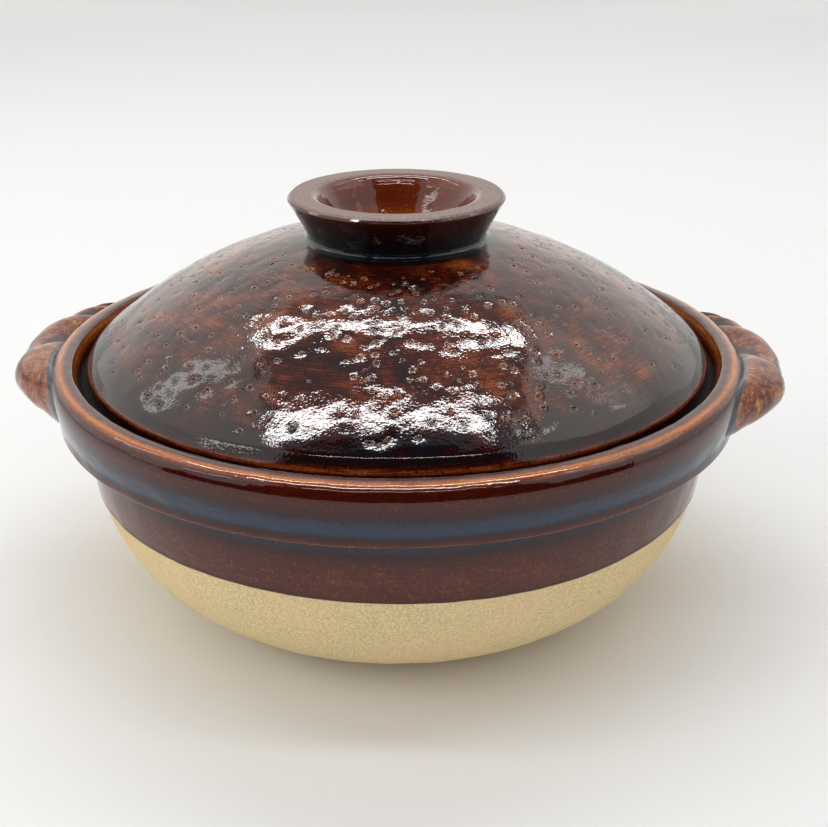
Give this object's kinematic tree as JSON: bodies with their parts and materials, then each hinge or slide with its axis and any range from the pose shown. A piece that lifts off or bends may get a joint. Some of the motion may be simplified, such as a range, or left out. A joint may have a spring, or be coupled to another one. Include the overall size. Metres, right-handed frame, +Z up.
{
  "type": "clay pot",
  "caption": "Round stoneware cooking pot with a deep bowl, rope-shaped side ears and a domed lid with a hollow ring knob, which drops onto a ledge inside the rim.",
  "frame": {"origin": "middle of the foot, on the surface that the pot stands on", "axes": "+Z up along the pot's axis, +X through the right-hand ear, +Y to the back, where the steam hole is"},
  "size_m": [0.3224, 0.286, 0.1712],
  "materials": {
    "pot_clay": "brown glaze over the rim and upper wall, bare cream clay below",
    "handle_glaze": "glossy amber-brown glaze",
    "lid_glaze": "glossy dark brown glaze with pinholes",
    "knob_glaze": "glossy dark brown glaze, wiped on top"
  },
  "bodies": {
    "pot": {"pot_bowl": "pot_clay", "handle_left": "handle_glaze", "handle_right": "handle_glaze"},
    "lid": {"lid_dome": "lid_glaze", "lid_knob": "knob_glaze"}
  },
  "joints": [
    {"name": "lid_lift", "type": "slide", "parent": "pot", "child": "lid", "axis": [0, 0, 1], "range_m": [0, 0.12]}
  ]
}
